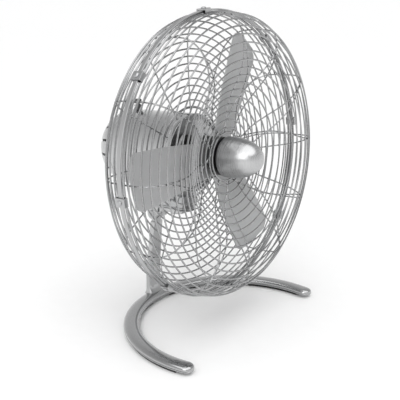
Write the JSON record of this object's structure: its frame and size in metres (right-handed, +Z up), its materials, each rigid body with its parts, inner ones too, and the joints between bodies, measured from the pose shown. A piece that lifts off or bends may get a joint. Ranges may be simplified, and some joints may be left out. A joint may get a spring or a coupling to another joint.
{
  "type": "desk fan",
  "caption": "Desk fan with a round wire cage, swept metal blades, a bullet nose, a cylindrical motor and a bent post on a C-shaped base.",
  "frame": {"origin": "on the resting surface, under the middle of the whole fan's bounding box", "axes": "+Z up, the fan blows towards -Y, +X to the right as seen by someone facing the front guard"},
  "size_m": [0.3524, 0.248, 0.3915],
  "materials": {
    "body_steel": "brushed along its length, satin",
    "wire_steel": "satin chromed wire",
    "blade_metal": "fine satin, matt silver",
    "black_plastic": "fine moulded grain",
    "rubber": "matt",
    "fastener_steel": "zinc-plated, satin",
    "copper_winding": "varnished copper wire"
  },
  "bodies": {
    "stand": {"base_arc": "body_steel", "foot_pad_left": "rubber", "foot_pad_right": "rubber", "foot_pad_rear_left": "rubber", "foot_pad_rear_right": "rubber", "post_screw_1": "fastener_steel", "post_screw_2": "fastener_steel", "post": "body_steel"},
    "tilt_frame": {"tilt_arm": "body_steel", "tilt_pin": "fastener_steel", "tilt_nut": "fastener_steel", "tilt_washer_left": "black_plastic", "tilt_washer_right": "black_plastic", "swivel_spindle": "fastener_steel"},
    "head": {"gearbox_case": "fastener_steel", "gearbox_lid": "fastener_steel", "motor_housing": "body_steel", "rear_cap": "body_steel", "front_plate": "black_plastic", "front_bearing": "fastener_steel", "rear_bearing": "fastener_steel", "stator_core": "fastener_steel", "front_winding": "copper_winding", "rear_winding": "copper_winding", "rear_bracket": "fastener_steel", "swing_gearbox": "black_plastic", "run_capacitor": "black_plastic", "speed_switch": "black_plastic", "cord_inlet": "black_plastic", "front_guard": "wire_steel", "rear_guard": "wire_steel", "guard_band": "wire_steel", "guard_clip_1": "wire_steel", "guard_clip_2": "wire_steel", "guard_clip_3": "wire_steel", "guard_clip_4": "wire_steel", "guard_clip_5": "wire_steel", "guard_clip_6": "wire_steel", "guard_clip_7": "wire_steel", "guard_clip_8": "wire_steel", "clip_screw_1": "fastener_steel", "clip_screw_2": "fastener_steel", "clip_screw_3": "fastener_steel", "clip_screw_4": "fastener_steel", "clip_screw_5": "fastener_steel", "clip_screw_6": "fastener_steel", "clip_screw_7": "fastener_steel", "clip_screw_8": "fastener_steel"},
    "rotor": {"motor_shaft": "fastener_steel", "rotor_core": "fastener_steel", "fan_hub": "black_plastic", "blade_1": "blade_metal", "blade_2": "blade_metal", "blade_3": "blade_metal", "hub_collar": "black_plastic", "nose_cone": "body_steel"},
    "speed_dial": {"speed_knob": "black_plastic"},
    "swing_button": {"swing_knob": "black_plastic"}
  },
  "joints": [
    {"name": "head_tilt", "type": "hinge", "parent": "stand", "child": "tilt_frame", "pos_m": [0, 0.03682, 0.12575], "axis": [-1, 0, 0], "range_deg": [-10, 35]},
    {"name": "head_swing", "type": "hinge", "parent": "tilt_frame", "child": "head", "pos_m": [0, 0.00386, 0.13699], "axis": [0, 0.0523, 0.9986], "range_deg": [-30, 30]},
    {"name": "rotor_spin", "type": "hinge", "parent": "head", "child": "rotor", "pos_m": [0, -0.06112, 0.2155], "axis": [0, -0.9986, 0.0523], "continuous": true},
    {"name": "speed_knob_turn", "type": "hinge", "parent": "head", "child": "speed_dial", "pos_m": [0, 0.11864, 0.20608], "axis": [0, 0.9986, -0.0523], "range_deg": [0, 135]},
    {"name": "swing_knob_pull", "type": "slide", "parent": "head", "child": "swing_button", "axis": [0, 0.0523, 0.9986], "range_m": [0, 0.004]}
  ]
}
